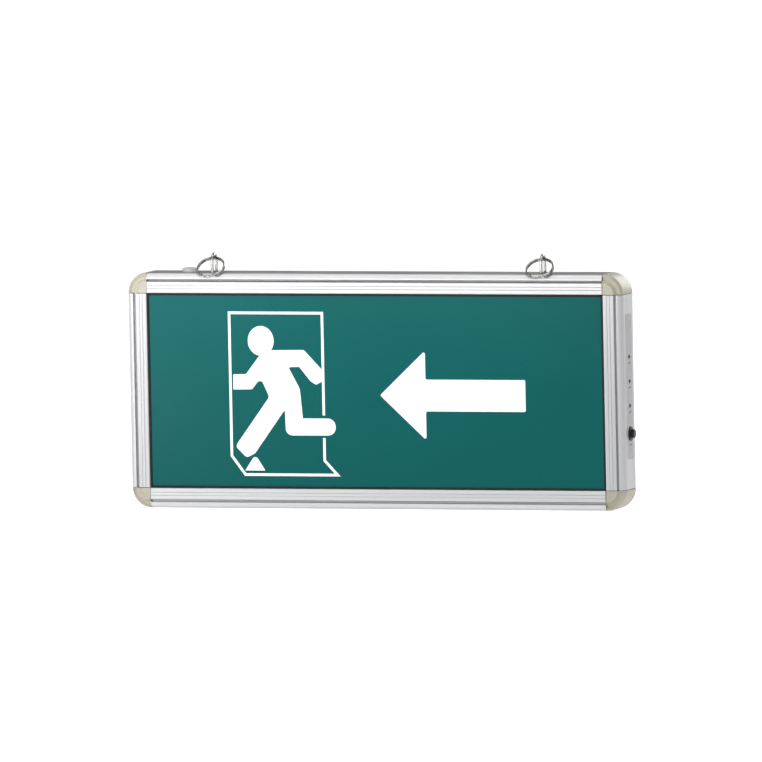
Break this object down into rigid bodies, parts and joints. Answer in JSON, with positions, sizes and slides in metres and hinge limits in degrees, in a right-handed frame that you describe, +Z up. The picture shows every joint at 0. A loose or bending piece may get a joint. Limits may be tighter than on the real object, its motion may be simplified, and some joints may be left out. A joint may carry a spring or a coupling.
{
  "type": "hanging emergency exit light",
  "caption": "Slim lit exit sign: green legend panel in an aluminium profile frame with moulded corners, hung by split rings from wire eyes on its top edge.",
  "frame": {"origin": "middle of the underside of the bottom rail, on the surface the light stands on", "axes": "+X to the viewer's right along the legend face, +Y through the light from its legend face to its back, +Z up towards the hanging eyes"},
  "size_m": [0.3614, 0.0313, 0.1764],
  "materials": {
    "rail_aluminium": "satin anodised",
    "corner_plastic": "moulded, light beige",
    "legend_green": "gloss acrylic, printed from behind",
    "diffuser_white": "opal",
    "guide_clear": "clear acrylic",
    "rear_white": "smooth sheet",
    "zinc_steel": "zinc plated",
    "board_white": "white solder mask",
    "led_yellow": "phosphor lens",
    "board_green": "green solder mask",
    "component_black": "black mouldings and windings",
    "component_blue": "blue mouldings",
    "cell_green": "shrink sleeve",
    "indicator_lens": "smoked lens",
    "button_black": "moulded, black",
    "eye_steel": "bright plated wire",
    "ring_chrome": "bright plated wire",
    "bush_rubber": "moulded, pale grey"
  },
  "bodies": {
    "housing": {"top_rail": "rail_aluminium", "bottom_rail": "rail_aluminium", "left_rail": "rail_aluminium", "right_rail": "rail_aluminium", "corner_top_left": "corner_plastic", "corner_top_right": "corner_plastic", "corner_bottom_left": "corner_plastic", "corner_bottom_right": "corner_plastic", "legend_panel": "legend_green", "diffuser_sheet": "diffuser_white", "light_guide": "guide_clear", "reflector_sheet": "diffuser_white", "rear_panel": "rear_white", "chassis": "zinc_steel", "led_board": "board_white", "led_lamps": "led_yellow", "charger_board": "board_green", "board_screws": "zinc_steel", "transformer": "component_black", "capacitors": "component_black", "relay": "component_blue", "terminal_block": "component_blue", "battery_cells": "cell_green", "battery_tray": "component_black", "side_board": "board_green", "test_switch": "component_black", "indicator_mains": "indicator_lens", "indicator_charge": "indicator_lens", "indicator_fault": "indicator_lens", "button_bezel": "button_black", "left_eye": "eye_steel", "right_eye": "eye_steel", "eye_washers": "zinc_steel", "cable_bush": "bush_rubber"},
    "left_ring": {"left_ring": "ring_chrome"},
    "right_ring": {"right_ring": "ring_chrome"},
    "test_button": {"test_button": "button_black"}
  },
  "joints": [
    {"name": "left_ring_swing", "type": "hinge", "parent": "housing", "child": "left_ring", "pos_m": [-0.119, -0.002, 0.1725], "axis": [-1, 0, 0], "range_deg": [0, 248.8]},
    {"name": "right_ring_swing", "type": "hinge", "parent": "housing", "child": "right_ring", "pos_m": [0.119, -0.002, 0.1725], "axis": [-1, 0, 0], "range_deg": [0, 248.8]},
    {"name": "test_button_press", "type": "slide", "parent": "housing", "child": "test_button", "axis": [-1, 0, 0], "range_m": [0, 0.0012], "stiffness_N_per_m": 600, "springref_m": -0.001}
  ]
}
